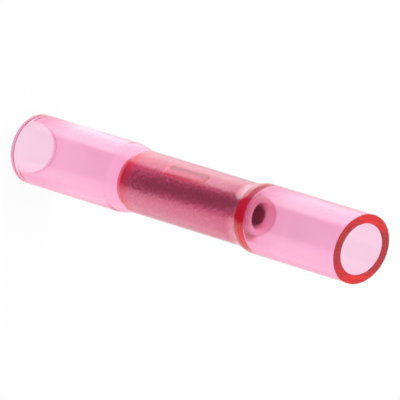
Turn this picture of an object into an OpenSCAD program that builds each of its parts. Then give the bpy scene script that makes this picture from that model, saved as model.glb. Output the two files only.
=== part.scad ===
// Heat-shrink butt splice connector: a clear insulating sleeve necked down on to a
// tin-plated copper crimp barrel. Millimetres. It stands on its lower, square-cut end:
// the axis is Z and the origin is the centre of that end.

/* [Sleeve] */
// Length of the sleeve along its axis
sleeve_length = 37; // [32:0.5:50]
// Outside diameter of the open ends
end_od = 5.6; // [5:0.1:8]
// Wall of the open ends
end_wall = 0.74; // [0.4:0.02:0.9]
// Wall of the neck, over the barrel
neck_wall = 0.96; // [0.5:0.02:1.2]
// Depth of the lower wire entry, up to where the neck grips the barrel
lower_entry = 12.1; // [8:0.1:16]
// Length over which the neck grips the barrel
grip_length = 12.95; // [10:0.05:15]
// Length of the lower flare on the outside
lower_flare = 2; // [0.8:0.05:3]
// Length of the upper flare on the outside
upper_flare = 1.65; // [0.8:0.05:3]
// How far inside the grip's lower end the outer flare starts
lower_lead = 0.4; // [0:0.05:0.8]
// How far inside the grip's upper end the outer flare starts
upper_lead = 0.55; // [0:0.05:0.8]
// Length of the lower funnel on the inside
lower_funnel = 1.8; // [0.8:0.1:3]
// Length of the upper cone on the inside
upper_cone = 1.3; // [0.6:0.1:3]
// Slant of the upper cut away from square, in degrees
cut_slant = 6.5; // [0:0.5:12]

/* [Crimp barrel] */
// Outside diameter of the barrel
barrel_od = 3.1; // [2.6:0.05:3.6]
// Diameter of the two wire bores
wire_bore_d = 1.6; // [1.4:0.05:2]
// How far the barrel's lower end stands out of the grip
lower_reach = 0.7; // [0.1:0.05:1.5]
// How far the barrel's upper end stands out of the grip
upper_reach = 1.15; // [0.1:0.05:1.5]
// Radial gap between the barrel and the neck that grips it
grip_gap = 0.01; // [0:0.01:0.05]
// How much each mouth is wider than its bore, on the radius
mouth_flare = 0.3; // [0.1:0.02:0.36]
// Depth of each mouth's funnel
mouth_depth = 0.55; // [0.2:0.05:1]
// Radius on the outer edge of each end
edge_radius = 0.14; // [0.05:0.01:0.25]

/* [Wire stop] */
// Length of the stop that is pressed into the side of the barrel
stop_length = 4.8; // [2:0.1:6]
// How far the middle of the stop is below the middle of the barrel
stop_drop = 0.8; // [0:0.1:1.5]
// How far the stop stands into the bore
stop_height = 0.42; // [0.35:0.01:0.5]
// How far the wall opposite the stop is drawn in
stop_draw = 0.06; // [0.02:0.01:0.1]
// Depth of the punch's dent on the outside of the stop
dent_depth = 0.16; // [0.1:0.01:0.3]
// Radius of the punch that presses the dent
punch_radius = 1; // [0.6:0.05:1.2]
// Direction that the dent faces, in degrees about the axis from +X
stop_angle = -142; // [-180:1:180]

/* [Hidden] */
$fn = 96;
flare_steps = 12;
edge_steps = 5;
cut_margin = 1;

end_r = end_od / 2;
end_bore_r = end_r - end_wall;
barrel_r = barrel_od / 2;
neck_bore_r = barrel_r + grip_gap;
neck_r = neck_bore_r + neck_wall;
grip_low = lower_entry;
grip_high = lower_entry + grip_length;
slant_rise = end_r * tan(cut_slant);

barrel_low = grip_low - lower_reach;
barrel_high = grip_high + upper_reach;
wire_bore_r = wire_bore_d / 2;
stop_middle = (barrel_low + barrel_high) / 2 - stop_drop;
stop_low = stop_middle - stop_length / 2;
stop_high = stop_middle + stop_length / 2;
// The passage past the stop is off centre, so that the wall stands in on the dent's side only.
passage_r = wire_bore_r - (stop_height + stop_draw) / 2;
passage_offset = (stop_height - stop_draw) / 2;

function ease(t) = (1 - cos(180 * t)) / 2;
function reversed(points) = [for (i = [len(points) - 1:-1:0]) points[i]];

// A flare eased from the neck's radius at height start to the open end's, length above it or,
// where length is negative, below it.
function flare(r_neck, r_open, start, length) = [
    for (i = [0:flare_steps])
        let (t = i / flare_steps)
            [r_neck + (r_open - r_neck) * ease(t), start + length * t]
];

// Quarter round on an outer edge of the barrel, from its side to its end face at height z.
// The side is 1 at the upper end and -1 at the lower one.
function edge_round(z, side) = [
    for (i = [0:edge_steps])
        let (a = 90 * i / edge_steps)
            [barrel_r - edge_radius * (1 - cos(a)), z - side * edge_radius * (1 - sin(a))]
];

module sleeve() {
    top = sleeve_length + slant_rise + cut_margin;
    outer = concat(
        [[end_r, 0]],
        reversed(flare(neck_r, end_r, grip_low + lower_lead, -lower_flare)),
        flare(neck_r, end_r, grip_high - upper_lead, upper_flare),
        [[end_r, top]]
    );
    inner = concat(
        [[end_bore_r, 0]],
        reversed(flare(neck_bore_r, end_bore_r, grip_low, -lower_funnel)),
        [[neck_bore_r, grip_high]],
        [[end_bore_r, grip_high + upper_cone]],
        [[end_bore_r, top]]
    );
    color([0.95, 0.45, 0.62, 0.5])
        difference() {
            rotate_extrude()
                polygon(concat(outer, reversed(inner)));
            slanted_cut();
        }
}

// Everything above the upper cut, which leaves the sleeve longest on its -X side.
module slanted_cut() {
    width = 2 * end_od;
    translate([0, 0, sleeve_length])
        rotate([0, cut_slant, 0])
            translate([-width / 2, -width / 2, 0])
                cube([width, width, width]);
}

module crimp_barrel() {
    color("silver")
        difference() {
            barrel_blank();
            translate([0, 0, stop_high])
                wire_bore(barrel_high - stop_high);
            translate([0, 0, stop_low])
                mirror([0, 0, 1])
                    wire_bore(stop_low - barrel_low);
            translate([0, 0, stop_middle])
                rotate([0, 0, stop_angle]) {
                    stop_passage();
                    stop_dent();
                }
        }
}

module barrel_blank() {
    side = concat(reversed(edge_round(barrel_low, -1)), edge_round(barrel_high, 1));
    rotate_extrude()
        polygon(concat([[0, barrel_low]], side, [[0, barrel_high]]));
}

// The bore that takes one wire, from the stop up to its funnel mouth, depth above the stop.
module wire_bore(depth) {
    mouth_z = depth - mouth_depth;
    widening = mouth_flare / mouth_depth;
    cylinder(r = wire_bore_r, h = depth);
    translate([0, 0, mouth_z])
        cylinder(
            r1 = wire_bore_r,
            r2 = wire_bore_r + widening * (mouth_depth + cut_margin),
            h = mouth_depth + cut_margin
        );
}

module stop_passage() {
    translate([-passage_offset, 0, 0])
        cylinder(r = passage_r, h = stop_length + cut_margin, center = true);
}

// Long round-ended dent on the outside, the mark of the punch. At the barrel's skin it is as
// long as the stop.
module stop_dent() {
    end_length = sqrt(dent_depth * (2 * punch_radius - dent_depth));
    reach = stop_length / 2 - end_length;
    translate([barrel_r - dent_depth + punch_radius, 0, 0]) {
        cylinder(r = punch_radius, h = 2 * reach, center = true);
        for (side = [-1, 1])
            translate([0, 0, side * reach])
                sphere(r = punch_radius);
    }
}

sleeve();
crimp_barrel();
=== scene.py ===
import math

import bpy
from mathutils import Matrix, Vector


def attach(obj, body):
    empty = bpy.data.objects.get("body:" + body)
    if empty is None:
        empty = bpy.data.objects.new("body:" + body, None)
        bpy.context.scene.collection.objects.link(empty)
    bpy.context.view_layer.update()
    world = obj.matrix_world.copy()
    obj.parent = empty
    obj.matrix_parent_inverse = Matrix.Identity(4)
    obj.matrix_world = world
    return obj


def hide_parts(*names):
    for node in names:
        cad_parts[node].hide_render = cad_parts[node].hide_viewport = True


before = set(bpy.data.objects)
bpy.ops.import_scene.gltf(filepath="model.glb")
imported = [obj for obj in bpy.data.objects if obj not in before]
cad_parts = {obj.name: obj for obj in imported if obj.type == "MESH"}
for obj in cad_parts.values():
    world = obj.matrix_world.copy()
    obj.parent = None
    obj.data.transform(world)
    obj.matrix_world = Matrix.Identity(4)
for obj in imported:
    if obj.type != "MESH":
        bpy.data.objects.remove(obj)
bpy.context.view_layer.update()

MM = 0.001

# Sizes of the splice in millimetres, as the solids have them.
SLEEVE_LENGTH = 37.0
END_RADIUS = 2.8
END_WALL = 0.74
NECK_RADIUS = 2.52
# The neck grips the barrel between these heights.
# Outside, each flare starts its lead nearer the middle.
GRIP_LOW, GRIP_HIGH = 12.1, 25.05
LOWER_LEAD, UPPER_LEAD = 0.4, 0.55
LOWER_FLARE, UPPER_FLARE = 2.0, 1.65
LOWER_FUNNEL, UPPER_CONE = 1.8, 1.3
CUT_SLANT = math.radians(6.5)
BARREL_RADIUS = 1.55
BARREL_LOW, BARREL_HIGH = 11.4, 26.2
WIRE_BORE_RADIUS = 0.8
FUNNEL_WIDTH = 0.3
FUNNEL_DEPTH = 0.55
BARREL_EDGE = 0.14
STOP_LENGTH = 4.8
STOP_DROP = 0.8
STOP_HEIGHT = 0.42
STOP_DRAW = 0.06
STOP_ANGLE = math.radians(-142.0)
DENT_WIDTH = 0.87
DENT_DEPTH = 0.16

END_BORE = END_RADIUS - END_WALL
BARREL_MIDDLE = (BARREL_LOW + BARREL_HIGH) / 2
BARREL_LENGTH = BARREL_HIGH - BARREL_LOW
STOP_MIDDLE = BARREL_MIDDLE - STOP_DROP
PASSAGE_RADIUS = WIRE_BORE_RADIUS - (STOP_HEIGHT + STOP_DRAW) / 2
PASSAGE_OFFSET = (STOP_HEIGHT - STOP_DRAW) / 2

# The plastic is shrunk tight on the metal: its inner face lies this far under the metal's skin.
GRIP_SINK = 0.04
# The barrel sits a little askew in the neck: its upper end leans this far towards -X.
# What lies further from the axis than the barrel's skin and this margin leans less and less.
BARREL_LEAN = 0.15
LEAN_MARGIN = 0.001
# Edges of the cut ends are broken by this much.
CUT_EDGE = 0.05
# The metal's small edges are rounded by this much.
SOFT_EDGE = 0.06
# Points this near a named face of an outline count as on it.
SLACK = 0.02
# Longest straight step along the outline of each piece.
SLEEVE_STEP = 0.2
BARREL_STEP = 0.08
# A section is swept about the axis from a circle of this radius, in this many steps.
TURN_RADIUS = 1.0
TURN_SEGMENTS = 192

# The plastic's tint: what a metre of it takes, and the colour it leaves.
TINT_DENSITY = 600.0
TINT_COLOUR = (0.998, 0.19, 0.61, 1.0)
PLASTIC_IOR = 1.53
# The skin is glossy. The cut faces and the cone inside the upper shoulder are duller.
SKIN_ROUGHNESS = 0.08
CUT_ROUGHNESS = 0.22
CONE_ROUGHNESS = 0.25
# A cut face fades into the skin between these depths under it.
CUT_FADE = (0.03, 0.01)
# The dull cone runs this far past its upper end.
CONE_MARGIN = 0.05

# The metal's colours are tin with painted red light in them: the red that light takes on in the plastic
# round it. The third colour is the painted red alone.
TIN_COLOUR = (0.86, 0.485, 0.565, 1.0)
DARK_TIN_COLOUR = (0.8, 0.405, 0.44, 1.0)
PAINTED_RED_COLOUR = (0.94, 0.32, 0.34, 1.0)
# Painted light: the bore and the mouths are painted lighter, for the light that reaches them through the
# clear end.
BORE_LIGHT_COLOUR = (1.0, 0.62, 0.72, 1.0)
# The bore's painted light is full up to the first radius and gone at the second.
BORE_LIGHT_FADE = (1.25, 1.4)
# Painted red light, the glow that the plastic's wall pipes to the barrel's lower edge, covers this height
# from that edge, and then fades.
RED_GLOW_WIDTH = 0.9
RED_GLOW_FADE = 0.6
# The same red is painted along the dent's rim, to this share of the dent's half width, and is thinner in the
# dent.
RIM_WIDTH = 0.3
DENT_RED = 0.35
TIN_METAL = 0.78
TIN_ROUGHNESS = 0.3
# The sandy skin's grain in its shape, and below a finer one in its shade.
GRAIN_SIZE = 0.2
GRAIN_DEPTH = 0.06
# Speckle between these noise levels goes from the light to the dark tin.
SPECKLE_LIGHT, SPECKLE_DARK = 0.62, 0.42
SPECKLE_SCALE = 5000.0
SPECKLE_DETAIL = 2.0
GRAIN_SCALE = 12000.0
GRAIN_DETAIL = 3.0
GRAIN_BUMP = 0.3
GRAIN_BUMP_DEPTH = 0.05

# Where the photograph shows the middle of the far and of the near end, in pixels of its frame.
IMAGE_SIZE = 400
FAR_END_PIXEL = (37.2, 149.0)
NEAR_END_PIXEL = (361.5, 249.3)
CAMERA_ELEVATION = math.radians(44.9)
CAMERA_DISTANCE = 950.0
SENSOR_WIDTH = 36.0

# Studio cards lie round the foot of the splice. Each has four directions, where it starts, is full,
# starts to fade and ends, in degrees from the camera's side, and an inner and an outer radius.
CAMERA_SIDE = -90
DARK_CARD = (-66, -44, 22, 44)
DARK_RADII = (11.0, 85.0)
FOOT_CARD = (-52, -40, 28, 40)
FOOT_RADII = (5.0, 11.0)
UPPER_SOFTBOX = (-152, -104, -64, -46)
UPPER_RADII = (7.0, 25.0)
LOWER_SOFTBOX = (40, 60, 104, 130)
LOWER_RADII = (8.0, 25.0)
OUTER_RADII = (33.0, 80.0)
CARD_FADE = 3.0
CARD_STEPS = 48
# Heights of the cards that clear plastic shows too, and of those that only gloss shows.
THROUGH_HEIGHT, GLOSS_HEIGHT = 0.02, 0.04
# How bright the cards are, against white at 1.
DARK_LEVEL = 0.055
UPPER_LEVEL = 2.7
LOWER_LEVEL = 1.5
# Light that has turned more often than this passes the cards and meets the floor.
CARD_TURNS = 3.5
FLOOR_HALF = 2000.0
FLOOR_DROP = 0.1
FLOOR_COLOUR = (0.95, 0.95, 0.95, 1.0)
FLOOR_ROUGHNESS = 0.9
# How white the floor shows through the plastic, and the share of it that takes the shadow.
FLOOR_SEEN = 0.99
FLOOR_SHADED = 0.1
# A small lamp stands to the left, and lights the barrel's mouth. Its direction is in degrees from +X.
LAMP_DIRECTION = -170.0
LAMP_ELEVATION = 35.0
LAMP_DISTANCE = 300.0
LAMP_RADIUS = 20.0
LAMP_POWER = 0.25
MOST_BOUNCES = 64


def smooth_step(t):
    return t * t * (3 - 2 * t)


def flare(r_neck, r_end, start, length, steps=20):
    """Points of one flare, from the neck at height start to the open end, length above or below it."""
    points = []
    for i in range(steps + 1):
        t = i / steps
        height = start + length * t
        points.append((r_neck + (r_end - r_neck) * smooth_step(t), height))
    return points


def rounded(centre, radius, start, end, steps=4):
    """Points of a rounded corner, between two angles in degrees."""
    points = []
    for i in range(steps + 1):
        a = math.radians(start + (end - start) * i / steps)
        points.append((centre[0] + radius * math.cos(a), centre[1] + radius * math.sin(a)))
    return points


def closed_outline(stretches, longest):
    """Joins stretches of points into one loop, with extra points where a straight is longer than longest."""
    loop = []
    for here, after in zip(stretches, stretches[1:] + stretches[:1]):
        loop += here
        (r0, z0), (r1, z1) = here[-1], after[0]
        steps = max(1, math.ceil(math.dist((r0, z0), (r1, z1)) / longest))
        loop += [(r0 + (r1 - r0) * i / steps, z0 + (z1 - z0) * i / steps) for i in range(1, steps)]
    return loop


def sleeve_outline():
    """The sleeve's wall as radius and height, anticlockwise."""
    e = CUT_EDGE
    outer = (NECK_RADIUS, END_RADIUS)
    inner = (BARREL_RADIUS - GRIP_SINK, END_BORE)
    return closed_outline(
        [
            rounded((END_BORE + e, e), e, 180, 270),
            rounded((END_RADIUS - e, e), e, 270, 360),
            flare(*outer, GRIP_LOW + LOWER_LEAD, -LOWER_FLARE)[::-1],
            flare(*outer, GRIP_HIGH - UPPER_LEAD, UPPER_FLARE),
            rounded((END_RADIUS - e, SLEEVE_LENGTH - e), e, 0, 90),
            rounded((END_BORE + e, SLEEVE_LENGTH - e), e, 90, 180),
            [(inner[1], GRIP_HIGH + UPPER_CONE)],
            [(inner[0], GRIP_HIGH)],
            flare(*inner, GRIP_LOW, -LOWER_FUNNEL),
        ],
        longest=SLEEVE_STEP,
    )


def barrel_outline():
    """The barrel's wall as radius and height, anticlockwise, with the stop's narrow passage in its bore."""
    low, high = BARREL_LOW, BARREL_HIGH
    stop_low, stop_high = STOP_MIDDLE - STOP_LENGTH / 2, STOP_MIDDLE + STOP_LENGTH / 2
    bore, passage = WIRE_BORE_RADIUS, PASSAGE_RADIUS
    mouth = bore + FUNNEL_WIDTH
    e, s = BARREL_EDGE, SOFT_EDGE
    return closed_outline(
        [
            rounded((mouth + s, low + s), s, 195, 270),
            rounded((BARREL_RADIUS - e, low + e), e, 270, 360, 8),
            rounded((BARREL_RADIUS - e, high - e), e, 0, 90, 8),
            rounded((mouth + s, high - s), s, 90, 165),
            [(bore, high - FUNNEL_DEPTH)],
            [(bore, stop_high + s), (bore - s, stop_high)],
            [(passage + s, stop_high), (passage, stop_high - s)],
            [(passage, stop_low + s), (passage + s, stop_low)],
            [(bore - s, stop_low), (bore, stop_low - s)],
            [(bore, low + FUNNEL_DEPTH)],
        ],
        longest=BARREL_STEP,
    )


def math_node(tree, operation, *values):
    """A Math node on sockets or numbers, and its output."""
    node = tree.nodes.new("ShaderNodeMath")
    node.operation = operation
    for socket, value in zip(node.inputs, values):
        if isinstance(value, bpy.types.NodeSocket):
            tree.links.new(value, socket)
        else:
            socket.default_value = value
    return node.outputs[0]


def ramp_node(tree, value, start, end, smooth=False):
    """A Map Range node from start and end, sockets or numbers, to 0 and 1, and its output."""
    node = tree.nodes.new("ShaderNodeMapRange")
    node.interpolation_type = "SMOOTHSTEP" if smooth else "LINEAR"
    tree.links.new(value, node.inputs["Value"])
    for name, edge in (("From Min", start), ("From Max", end)):
        if isinstance(edge, bpy.types.NodeSocket):
            tree.links.new(edge, node.inputs[name])
        else:
            node.inputs[name].default_value = edge
    return node.outputs[0]


def mix_colours(tree, factor, first, second):
    """A Mix node from one colour to another, sockets or values, and its output."""
    node = tree.nodes.new("ShaderNodeMix")
    node.data_type = "RGBA"
    ends = {socket.identifier: socket for socket in (*node.inputs, *node.outputs)}
    tree.links.new(factor, ends["Factor_Float"])
    for name, colour in (("A_Color", first), ("B_Color", second)):
        if isinstance(colour, bpy.types.NodeSocket):
            tree.links.new(colour, ends[name])
        else:
            ends[name].default_value = colour
    return ends["Result_Color"]


def radius_node(tree, x, y):
    """How far a place is from the axis."""
    squared = math_node(tree, "MULTIPLY_ADD", x, x, math_node(tree, "MULTIPLY", y, y))
    return math_node(tree, "SQRT", squared)


def turned_piece_tree():
    """Geometry Nodes that turn an outline about Z, press the wire stop's dent in its round skin and mark
    where red is painted along its rim, shift the passage behind the dent, lean what sits askew and slant the
    upper end."""
    tree = bpy.data.node_groups.new("turned_piece", "GeometryNodeTree")
    face = tree.interface
    face.new_socket("Outline", in_out="INPUT", socket_type="NodeSocketGeometry")
    face.new_socket("Segments", in_out="INPUT", socket_type="NodeSocketInt")
    for name in (
        "Turn Radius", "Slack", "Dented Radius", "Dent Height", "Dent Angle", "Dent Length",
        "Dent Width", "Dent Depth", "Rim Width", "Dent Red", "Passage Radius", "Passage Offset",
        "Lean", "Lean Height", "Leaning Radius", "Upright Radius",
        "Slant", "Slant Start", "Top Height", "Grain Size", "Grain Depth",
    ):
        face.new_socket(name, in_out="INPUT", socket_type="NodeSocketFloat")
    face.new_socket("Material", in_out="INPUT", socket_type="NodeSocketMaterial")
    face.new_socket("Mesh", in_out="OUTPUT", socket_type="NodeSocketGeometry")
    nodes, links = tree.nodes, tree.links
    given = nodes.new("NodeGroupInput").outputs

    def number(operation, *values):
        return math_node(tree, operation, *values)

    circle = nodes.new("GeometryNodeCurvePrimitiveCircle")
    links.new(given["Segments"], circle.inputs["Resolution"])
    links.new(given["Turn Radius"], circle.inputs["Radius"])
    sweep = nodes.new("GeometryNodeCurveToMesh")
    links.new(circle.outputs["Curve"], sweep.inputs["Curve"])
    links.new(given["Outline"], sweep.inputs["Profile Curve"])

    place = nodes.new("ShaderNodeSeparateXYZ")
    links.new(nodes.new("GeometryNodeInputPosition").outputs[0], place.inputs[0])
    x, y, z = place.outputs
    radius = radius_node(tree, x, y)
    height = number("SUBTRACT", z, given["Dent Height"])
    dent_x = number("COSINE", given["Dent Angle"])
    dent_y = number("SINE", given["Dent Angle"])

    # How far a point of the dented skin is from the dent's middle line gives how deep it is pressed in.
    across = number("SUBTRACT", number("MULTIPLY", x, dent_y), number("MULTIPLY", y, dent_x))
    facing = number("ADD", number("MULTIPLY", x, dent_x), number("MULTIPLY", y, dent_y))
    half_width = number("MULTIPLY", given["Dent Width"], 0.5)
    line_half = number("SUBTRACT", number("MULTIPLY", given["Dent Length"], 0.5), half_width)
    past = number("MAXIMUM", number("SUBTRACT", number("ABSOLUTE", height), line_half), 0.0)
    away = number("SQRT", number("ADD", number("MULTIPLY", past, past), number("MULTIPLY", across, across)))
    share = number("DIVIDE", away, half_width)
    pressed = number("MAXIMUM", number("SUBTRACT", 1.0, number("MULTIPLY", share, share)), 0.0)
    off_skin = number("ABSOLUTE", number("SUBTRACT", radius, given["Dented Radius"]))
    on_skin = number("LESS_THAN", off_skin, given["Slack"])
    on_side = number("MULTIPLY", on_skin, number("GREATER_THAN", facing, 0.0))
    press = number("MULTIPLY", number("MULTIPLY", pressed, on_side), given["Dent Depth"])
    keep = number("SUBTRACT", 1.0, number("DIVIDE", press, number("MAXIMUM", radius, given["Slack"])))

    # The painted red is full on the rim and thinner in the dent.
    off_rim = number("DIVIDE", number("ABSOLUTE", number("SUBTRACT", share, 1.0)), given["Rim Width"])
    inside = number("MULTIPLY", number("LESS_THAN", share, 1.0), given["Dent Red"])
    painted_red = number("MULTIPLY", number("MAXIMUM", number("SUBTRACT", 1.0, off_rim), inside), on_side)

    in_passage = number("LESS_THAN", radius, number("ADD", given["Passage Radius"], given["Slack"]))
    drawn = number("MULTIPLY", in_passage, given["Passage Offset"])

    # Full lean up to Leaning Radius, none from Upright Radius on.
    upright = ramp_node(tree, radius, given["Leaning Radius"], given["Upright Radius"])
    leaning = number("SUBTRACT", 1.0, upright)
    lean_height = number("SUBTRACT", z, given["Lean Height"])
    lean = number("MULTIPLY", number("MULTIPLY", leaning, given["Lean"]), lean_height)
    climb = ramp_node(tree, z, given["Slant Start"], given["Top Height"])
    drop = number("MULTIPLY", number("MULTIPLY", x, number("TANGENT", given["Slant"])), climb)

    moved = nodes.new("ShaderNodeCombineXYZ")
    moved_x = number("SUBTRACT", number("MULTIPLY", x, keep), number("MULTIPLY", drawn, dent_x))
    links.new(number("SUBTRACT", moved_x, lean), moved.inputs[0])
    moved_y = number("SUBTRACT", number("MULTIPLY", y, keep), number("MULTIPLY", drawn, dent_y))
    links.new(moved_y, moved.inputs[1])
    links.new(number("SUBTRACT", z, drop), moved.inputs[2])
    marked = nodes.new("GeometryNodeStoreNamedAttribute")
    marked.inputs["Name"].default_value = "dent_red"
    links.new(sweep.outputs["Mesh"], marked.inputs["Geometry"])
    links.new(painted_red, marked.inputs["Value"])
    shaped = nodes.new("GeometryNodeSetPosition")
    links.new(marked.outputs["Geometry"], shaped.inputs["Geometry"])
    links.new(moved.outputs[0], shaped.inputs["Position"])

    # A sandy skin: every point stands in or out along its normal by a fine noise.
    noise = nodes.new("ShaderNodeTexNoise")
    links.new(nodes.new("GeometryNodeInputPosition").outputs[0], noise.inputs["Vector"])
    links.new(number("DIVIDE", 1.0, given["Grain Size"]), noise.inputs["Scale"])
    stand = number("MULTIPLY", number("SUBTRACT", noise.outputs[0], 0.5), given["Grain Depth"])
    offset = nodes.new("ShaderNodeVectorMath")
    offset.operation = "SCALE"
    links.new(nodes.new("GeometryNodeInputNormal").outputs[0], offset.inputs[0])
    links.new(stand, offset.inputs["Scale"])
    grained = nodes.new("GeometryNodeSetPosition")
    links.new(shaped.outputs["Geometry"], grained.inputs["Geometry"])
    links.new(offset.outputs[0], grained.inputs["Offset"])

    smooth = nodes.new("GeometryNodeSetShadeSmooth")
    links.new(grained.outputs["Geometry"], smooth.inputs["Geometry"])
    real = nodes.new("GeometryNodeRealizeInstances")
    links.new(smooth.outputs["Geometry"], real.inputs["Geometry"])
    dressed = nodes.new("GeometryNodeSetMaterial")
    links.new(real.outputs["Geometry"], dressed.inputs["Geometry"])
    links.new(given["Material"], dressed.inputs["Material"])
    links.new(dressed.outputs["Geometry"], nodes.new("NodeGroupOutput").inputs["Mesh"])
    return tree


def turned_piece(name, outline, tree, values, material):
    """A plain mesh of one outline turned about the axis by the tree, with the tree's named inputs set."""
    curve = bpy.data.curves.new(name + "_outline", "CURVE")
    spline = curve.splines.new("POLY")
    spline.points.add(len(outline) - 1)
    for point, (r, z) in zip(spline.points, reversed(outline)):
        point.co = ((r - TURN_RADIUS) * MM, -z * MM, 0, 1)
    spline.use_cyclic_u = True
    holder = bpy.data.objects.new(name + "_outline", curve)
    bpy.context.scene.collection.objects.link(holder)
    modifier = holder.modifiers.new("turned_piece", "NODES")
    modifier.node_group = tree
    for item in tree.interface.items_tree:
        if item.in_out == "INPUT" and item.name in values:
            modifier[item.identifier] = values[item.name]
        if item.name == "Material":
            modifier[item.identifier] = material
    made = holder.evaluated_get(bpy.context.evaluated_depsgraph_get())
    mesh = bpy.data.meshes.new_from_object(made)
    mesh.name = name
    bpy.data.objects.remove(holder)
    piece = bpy.data.objects.new(name, mesh)
    bpy.context.scene.collection.objects.link(piece)
    return piece


def new_material(name):
    material = bpy.data.materials.new(name)
    material.use_nodes = True
    tree = material.node_tree
    return material, tree, tree.nodes["Principled BSDF"], tree.nodes["Material Output"]


def clear_red_plastic():
    """Clear plastic, tinted through its depth, duller on the two cut faces and on the upper cone."""
    material, tree, shader, output = new_material("clear_red_plastic")
    nodes, links = tree.nodes, tree.links
    shader.inputs["Base Color"].default_value = (1, 1, 1, 1)
    shader.inputs["IOR"].default_value = PLASTIC_IOR
    shader.inputs["Transmission Weight"].default_value = 1.0
    depth = nodes.new("ShaderNodeVolumeAbsorption")
    depth.inputs["Color"].default_value = TINT_COLOUR
    depth.inputs["Density"].default_value = TINT_DENSITY
    links.new(depth.outputs["Volume"], output.inputs["Volume"])

    place = nodes.new("ShaderNodeSeparateXYZ")
    links.new(nodes.new("ShaderNodeTexCoord").outputs["Object"], place.inputs[0])
    x, y, z = place.outputs
    radius = radius_node(tree, x, y)
    fade_start, fade_end = CUT_FADE
    leaned = math_node(tree, "MULTIPLY_ADD", x, math.tan(CUT_SLANT), z)
    upper = ramp_node(tree, leaned, (SLEEVE_LENGTH - fade_start) * MM, (SLEEVE_LENGTH - fade_end) * MM)
    lower = ramp_node(tree, z, fade_start * MM, fade_end * MM)
    cut = math_node(tree, "MAXIMUM", upper, lower)
    within = math_node(tree, "LESS_THAN", radius, (END_BORE + SLACK) * MM)
    above = math_node(tree, "GREATER_THAN", z, GRIP_HIGH * MM)
    below = math_node(tree, "LESS_THAN", z, (GRIP_HIGH + UPPER_CONE + CONE_MARGIN) * MM)
    cone = math_node(tree, "MULTIPLY", within, math_node(tree, "MULTIPLY", above, below))
    rough = math_node(tree, "MULTIPLY_ADD", cut, CUT_ROUGHNESS - SKIN_ROUGHNESS, SKIN_ROUGHNESS)
    rough = math_node(tree, "MULTIPLY_ADD", cone, CONE_ROUGHNESS - SKIN_ROUGHNESS, rough)
    links.new(rough, shader.inputs["Roughness"])
    return material


def tin_plate():
    """Dull tin plating with a fine sandy grain, painted red light round its lower edge and painted light in
    its bore.
    """
    material, tree, shader, _ = new_material("tin_plate")
    nodes, links = tree.nodes, tree.links
    shader.inputs["Metallic"].default_value = TIN_METAL
    shader.inputs["Roughness"].default_value = TIN_ROUGHNESS
    coords = nodes.new("ShaderNodeTexCoord").outputs["Object"]
    speckle = nodes.new("ShaderNodeTexNoise")
    speckle.inputs["Scale"].default_value = SPECKLE_SCALE
    speckle.inputs["Detail"].default_value = SPECKLE_DETAIL
    links.new(coords, speckle.inputs["Vector"])
    dark = ramp_node(tree, speckle.outputs[0], SPECKLE_LIGHT, SPECKLE_DARK, smooth=True)
    tin = mix_colours(tree, dark, TIN_COLOUR, DARK_TIN_COLOUR)

    # Painted red light, the glow that the plastic's wall pipes there, runs round the barrel's lower edge.
    # The same painted red runs along the dent's rim.
    place = nodes.new("ShaderNodeSeparateXYZ")
    links.new(coords, place.inputs[0])
    x, y, z = place.outputs
    glow_end = BARREL_LOW + RED_GLOW_WIDTH
    edge_glow = ramp_node(tree, z, (glow_end + RED_GLOW_FADE) * MM, glow_end * MM, smooth=True)
    dent_red = nodes.new("ShaderNodeAttribute")
    dent_red.attribute_name = "dent_red"
    painted_red = math_node(tree, "MAXIMUM", edge_glow, dent_red.outputs["Fac"])
    reddened = mix_colours(tree, painted_red, tin, PAINTED_RED_COLOUR)

    # Painted light: the bore and the mouths are given a lighter colour, for the light that reaches them
    # through the clear end.
    bore_full, bore_gone = BORE_LIGHT_FADE
    bore_lit = ramp_node(tree, radius_node(tree, x, y), bore_gone * MM, bore_full * MM, smooth=True)
    links.new(mix_colours(tree, bore_lit, reddened, BORE_LIGHT_COLOUR), shader.inputs["Base Color"])

    grain = nodes.new("ShaderNodeTexNoise")
    grain.inputs["Scale"].default_value = GRAIN_SCALE
    grain.inputs["Detail"].default_value = GRAIN_DETAIL
    links.new(coords, grain.inputs["Vector"])
    bump = nodes.new("ShaderNodeBump")
    bump.inputs["Strength"].default_value = GRAIN_BUMP
    bump.inputs["Distance"].default_value = GRAIN_BUMP_DEPTH * MM
    links.new(grain.outputs[0], bump.inputs["Height"])
    links.new(bump.outputs[0], shader.inputs["Normal"])
    return material


def floor_material():
    """White paper: it shows white to the eye and in plastic and metal, and keeps a faint shadow."""
    material, tree, shader, output = new_material("white_floor")
    shader.inputs["Base Color"].default_value = FLOOR_COLOUR
    shader.inputs["Roughness"].default_value = FLOOR_ROUGHNESS
    nodes, links = tree.nodes, tree.links
    path = nodes.new("ShaderNodeLightPath")
    seen = math_node(tree, "MAXIMUM", path.outputs["Is Camera Ray"], path.outputs["Is Glossy Ray"])
    seen = math_node(tree, "MAXIMUM", seen, path.outputs["Is Transmission Ray"])
    share = math_node(tree, "MULTIPLY_ADD", path.outputs["Is Camera Ray"], -FLOOR_SHADED, seen)
    level = math_node(tree, "MULTIPLY_ADD", path.outputs["Is Transmission Ray"], FLOOR_SEEN - 1.0, 1.0)
    white = nodes.new("ShaderNodeEmission")
    white.inputs["Color"].default_value = (1, 1, 1, 1)
    links.new(level, white.inputs["Strength"])
    mix = nodes.new("ShaderNodeMixShader")
    links.new(share, mix.inputs[0])
    links.new(shader.outputs[0], mix.inputs[1])
    links.new(white.outputs[0], mix.inputs[2])
    links.new(mix.outputs[0], output.inputs["Surface"])
    return material


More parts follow.
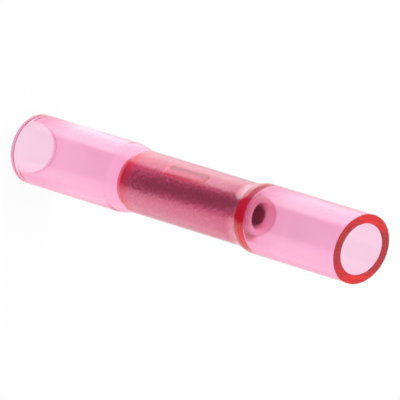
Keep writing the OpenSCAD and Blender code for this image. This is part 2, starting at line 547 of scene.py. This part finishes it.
def card_material(name, level):
    """A studio card of one even level, which fades out where its cover does."""
    material, tree, shader, output = new_material(name)
    nodes, links = tree.nodes, tree.links
    nodes.remove(shader)
    cover = nodes.new("ShaderNodeAttribute")
    cover.attribute_name = "cover"
    paint = nodes.new("ShaderNodeEmission")
    paint.inputs["Color"].default_value = (1, 1, 1, 1)
    paint.inputs["Strength"].default_value = level
    turns = nodes.new("ShaderNodeLightPath").outputs["Ray Depth"]
    early = math_node(tree, "LESS_THAN", turns, CARD_TURNS)
    mix = nodes.new("ShaderNodeMixShader")
    links.new(math_node(tree, "MULTIPLY", cover.outputs["Fac"], early), mix.inputs[0])
    links.new(nodes.new("ShaderNodeBsdfTransparent").outputs[0], mix.inputs[1])
    links.new(paint.outputs[0], mix.inputs[2])
    links.new(mix.outputs[0], output.inputs["Surface"])
    return material


def add_floor():
    half, low = FLOOR_HALF * MM, -FLOOR_DROP * MM
    corners = [(-half, -half, low), (half, -half, low), (half, half, low), (-half, half, low)]
    mesh = bpy.data.meshes.new("floor")
    mesh.from_pydata(corners, [], [(0, 1, 2, 3)])
    mesh.materials.append(floor_material())
    floor = bpy.data.objects.new("floor", mesh)
    bpy.context.scene.collection.objects.link(floor)


def add_card(name, directions, radii, level, through=False):
    """A card flat on the floor round the splice, which gloss shows and, where through, clear plastic too."""
    inner, outer = radii
    rings = ((inner - CARD_FADE, 0.0), (inner, 1.0), (outer, 1.0), (outer + CARD_FADE, 0.0))
    height = THROUGH_HEIGHT if through else GLOSS_HEIGHT
    start, full_start, full_end, end = directions
    verts, faces, cover = [], [], []
    for i in range(CARD_STEPS + 1):
        direction = start + (end - start) * i / CARD_STEPS
        inset = min((direction - start) / (full_start - start), (end - direction) / (end - full_end))
        a = math.radians(CAMERA_SIDE + direction)
        for r, full in rings:
            verts.append((r * math.cos(a) * MM, r * math.sin(a) * MM, height * MM))
            cover.append(smooth_step(min(1.0, inset)) * full)
    for i in range(CARD_STEPS):
        for j in range(len(rings) - 1):
            k = i * len(rings) + j
            faces.append((k, k + 1, k + len(rings) + 1, k + len(rings)))
    mesh = bpy.data.meshes.new(name)
    mesh.from_pydata(verts, [], faces)
    mesh.attributes.new("cover", "FLOAT", "POINT").data.foreach_set("value", cover)
    mesh.materials.append(card_material(name, level))
    card = bpy.data.objects.new(name, mesh)
    bpy.context.scene.collection.objects.link(card)
    card.visible_camera = False
    card.visible_diffuse = False
    card.visible_shadow = False
    card.visible_transmission = through


def add_light():
    world = bpy.data.worlds.new("studio")
    bpy.context.scene.world = world
    world.use_nodes = True
    back = world.node_tree.nodes["Background"]
    back.inputs["Color"].default_value = (1, 1, 1, 1)
    back.inputs["Strength"].default_value = 1.0


def add_lamp():
    """A small round lamp above the floor, aimed at the splice's foot."""
    d, e = math.radians(LAMP_DIRECTION), math.radians(LAMP_ELEVATION)
    place = Vector((math.cos(d) * math.cos(e), math.sin(d) * math.cos(e), math.sin(e))) * LAMP_DISTANCE
    data = bpy.data.lights.new("key_lamp", "AREA")
    data.shape = "DISK"
    data.size = 2 * LAMP_RADIUS * MM
    data.energy = LAMP_POWER
    lamp = bpy.data.objects.new("key_lamp", data)
    lamp.location = place * MM
    lamp.rotation_euler = place.to_track_quat("Z", "Y").to_euler()
    lamp.visible_camera = False
    bpy.context.scene.collection.objects.link(lamp)


def add_camera():
    """A long lens, turned so that the two ends of the splice fall on their pixels."""
    half = IMAGE_SIZE / 2
    rise, run = math.sin(CAMERA_ELEVATION), math.cos(CAMERA_ELEVATION)
    far_depth = CAMERA_DISTANCE + SLEEVE_LENGTH / 2 * rise
    near_depth = CAMERA_DISTANCE - SLEEVE_LENGTH / 2 * rise
    far_x, far_y = far_depth * (FAR_END_PIXEL[0] - half), far_depth * (half - FAR_END_PIXEL[1])
    near_x, near_y = near_depth * (NEAR_END_PIXEL[0] - half), near_depth * (half - NEAR_END_PIXEL[1])
    focal = math.hypot(near_x - far_x, near_y - far_y) / (SLEEVE_LENGTH * run)
    roll = math.atan2(near_x - far_x, near_y - far_y)
    aim_x, aim_y = (near_x + far_x) / 2 / focal, (near_y + far_y) / 2 / focal

    side, up, back = Vector((1, 0, 0)), Vector((0, rise, run)), Vector((0, -run, rise))
    right = side * math.cos(roll) + up * math.sin(roll)
    top = up * math.cos(roll) - side * math.sin(roll)
    place = Vector((0, 0, SLEEVE_LENGTH / 2)) + back * CAMERA_DISTANCE - right * aim_x - top * aim_y

    data = bpy.data.cameras.new("camera")
    data.sensor_width = SENSOR_WIDTH
    data.lens = focal * SENSOR_WIDTH / IMAGE_SIZE
    camera = bpy.data.objects.new("camera", data)
    camera.matrix_world = Matrix.Translation(place * MM) @ Matrix((right, top, back)).transposed().to_4x4()
    bpy.context.scene.collection.objects.link(camera)
    bpy.context.scene.camera = camera


scene = bpy.context.scene
scene.view_settings.view_transform = "Standard"
# Light runs far along the inside of the clear walls, with many reflections.
scene.cycles.max_bounces = MOST_BOUNCES
scene.cycles.glossy_bounces = MOST_BOUNCES
scene.cycles.transmission_bounces = MOST_BOUNCES

add_camera()
tree = turned_piece_tree()
shared = {
    "Segments": TURN_SEGMENTS,
    "Turn Radius": TURN_RADIUS * MM,
    "Slack": SLACK * MM,
    "Dent Height": STOP_MIDDLE * MM,
    "Dent Angle": STOP_ANGLE,
    "Dent Length": STOP_LENGTH * MM,
    "Dent Width": DENT_WIDTH * MM,
    "Dent Depth": DENT_DEPTH * MM,
    "Rim Width": RIM_WIDTH,
    "Dent Red": DENT_RED,
    "Lean": BARREL_LEAN / (BARREL_LENGTH / 2),
    "Lean Height": BARREL_MIDDLE * MM,
    "Leaning Radius": (BARREL_RADIUS + LEAN_MARGIN) * MM,
    "Upright Radius": END_BORE * MM,
    "Slant Start": (GRIP_HIGH + UPPER_CONE) * MM,
    "Top Height": SLEEVE_LENGTH * MM,
    "Grain Size": GRAIN_SIZE * MM,
}
barrel = turned_piece(
    "tinned_barrel",
    barrel_outline(),
    tree,
    shared
    | {
        "Dented Radius": BARREL_RADIUS * MM,
        "Passage Radius": PASSAGE_RADIUS * MM,
        "Passage Offset": PASSAGE_OFFSET * MM,
        "Slant": 0.0,
        "Grain Depth": GRAIN_DEPTH * MM,
    },
    tin_plate(),
)
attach(barrel, "root")
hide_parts("crimp_barrel")

sleeve = turned_piece(
    "clear_sleeve",
    sleeve_outline(),
    tree,
    shared
    | {
        "Dented Radius": (BARREL_RADIUS - GRIP_SINK) * MM,
        "Passage Radius": 0.0,
        "Passage Offset": 0.0,
        "Slant": CUT_SLANT,
        "Grain Depth": 0.0,
    },
    clear_red_plastic(),
)
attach(sleeve, "root")
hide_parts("sleeve")

add_floor()
add_card("dark_card", DARK_CARD, DARK_RADII, DARK_LEVEL, through=True)
add_card("foot_card", FOOT_CARD, FOOT_RADII, DARK_LEVEL)
add_card("upper_softbox", UPPER_SOFTBOX, UPPER_RADII, UPPER_LEVEL)
add_card("upper_outer_softbox", UPPER_SOFTBOX, OUTER_RADII, UPPER_LEVEL)
add_card("lower_softbox", LOWER_SOFTBOX, LOWER_RADII, LOWER_LEVEL)
add_card("lower_outer_softbox", LOWER_SOFTBOX, OUTER_RADII, LOWER_LEVEL)
add_light()
add_lamp()
